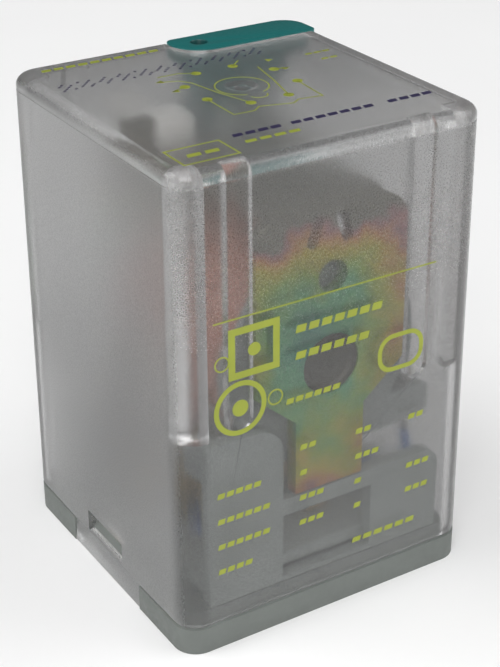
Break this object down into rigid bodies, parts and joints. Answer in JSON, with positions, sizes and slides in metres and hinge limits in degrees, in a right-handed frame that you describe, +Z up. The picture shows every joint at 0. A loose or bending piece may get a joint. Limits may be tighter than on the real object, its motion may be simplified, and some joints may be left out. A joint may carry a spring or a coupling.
{
  "type": "plug-in control relay",
  "caption": "Plug-in electromechanical relay with octal pin base, frosted clear cover, coil and changeover contacts, and a push-to-test button on top.",
  "frame": {"origin": "on the octal pin circle's axis in the seating plane, the underside of the base flange", "axes": "+Z up out of the socket towards the cover top, -Y the front behind which the yoke plate stands, +X to the right seen from the front"},
  "size_m": [0.0356, 0.0356, 0.0671],
  "materials": {
    "frosted_cover": "frosted translucent moulding",
    "base_grey": "matt moulded plastic",
    "block_grey": "matt moulded plastic",
    "teal_plastic": "satin moulding",
    "chromate_steel": "iridescent yellow chromate on steel",
    "iron": "machined",
    "brass": "stamped strip",
    "tinned": "tin plated",
    "silver_alloy": "contact alloy",
    "copper": "enamelled copper",
    "coil_tape": "thin adhesive film",
    "nylon": "moulded grey nylon",
    "card_white": "moulded card",
    "spring_steel": "spring temper",
    "lead_sleeve": "soft sleeve"
  },
  "bodies": {
    "relay_body": {"cover": "frosted_cover", "base_plate": "base_grey", "contact_block": "block_grey", "yoke": "chromate_steel", "core": "iron", "shading_ring": "copper", "coil_former": "nylon", "winding": "copper", "coil_tape": "coil_tape", "armature_spring": "spring_steel", "spring_rivet_yoke": "tinned", "button_spring": "spring_steel", "pin_1": "tinned", "pin_2": "tinned", "pin_3": "tinned", "pin_4": "tinned", "pin_5": "tinned", "pin_6": "tinned", "pin_7": "tinned", "pin_8": "tinned", "coil_terminal_left": "tinned", "coil_lead_left": "lead_sleeve", "common_terminal_left": "brass", "open_terminal_left": "brass", "open_contact_left": "silver_alloy", "closed_terminal_left": "brass", "closed_contact_left": "silver_alloy", "coil_terminal_right": "tinned", "coil_lead_right": "lead_sleeve", "common_terminal_right": "brass", "open_terminal_right": "brass", "open_contact_right": "silver_alloy", "closed_terminal_right": "brass", "closed_contact_right": "silver_alloy"},
    "test_button": {"test_button": "teal_plastic"},
    "armature": {"armature": "chromate_steel", "spring_rivet_armature": "tinned", "position_flag": "card_white"},
    "pusher_card": {"pusher_card": "card_white"},
    "contact_arm_left": {"contact_spring_left": "brass", "moving_contact_left": "silver_alloy"},
    "contact_arm_right": {"contact_spring_right": "brass", "moving_contact_right": "silver_alloy"}
  },
  "joints": [
    {"name": "test_button_press", "type": "slide", "parent": "relay_body", "child": "test_button", "axis": [0, 0, -1], "range_m": [0, 0.0015], "stiffness_N_per_m": 900, "springref_m": -0.001, "deforming": ["button_spring"]},
    {"name": "armature_swing", "type": "hinge", "parent": "relay_body", "child": "armature", "pos_m": [0, 0.00935, 0.0447], "axis": [-1, 0, 0], "range_deg": [0, 3.1], "deforming": ["armature_spring"]},
    {"name": "pusher_card_slide", "type": "slide", "parent": "relay_body", "child": "pusher_card", "axis": [0, -1, 0], "range_m": [0, 0.00157]},
    {"name": "contact_arm_left_flex", "type": "hinge", "parent": "relay_body", "child": "contact_arm_left", "pos_m": [-0.009, 0.002, 0.008], "axis": [1, 0, 0], "range_deg": [0, 11.86]},
    {"name": "contact_arm_right_flex", "type": "hinge", "parent": "relay_body", "child": "contact_arm_right", "pos_m": [0.009, 0.002, 0.008], "axis": [1, 0, 0], "range_deg": [0, 11.86]}
  ],
  "couplings": [
    {"joint": "armature_swing", "follows": "test_button_press", "rad_per_m": 36},
    {"joint": "pusher_card_slide", "follows": "test_button_press", "ratio": 1.0476},
    {"joint": "contact_arm_left_flex", "follows": "test_button_press", "rad_per_m": 137.84},
    {"joint": "contact_arm_right_flex", "follows": "test_button_press", "rad_per_m": 137.84}
  ]
}
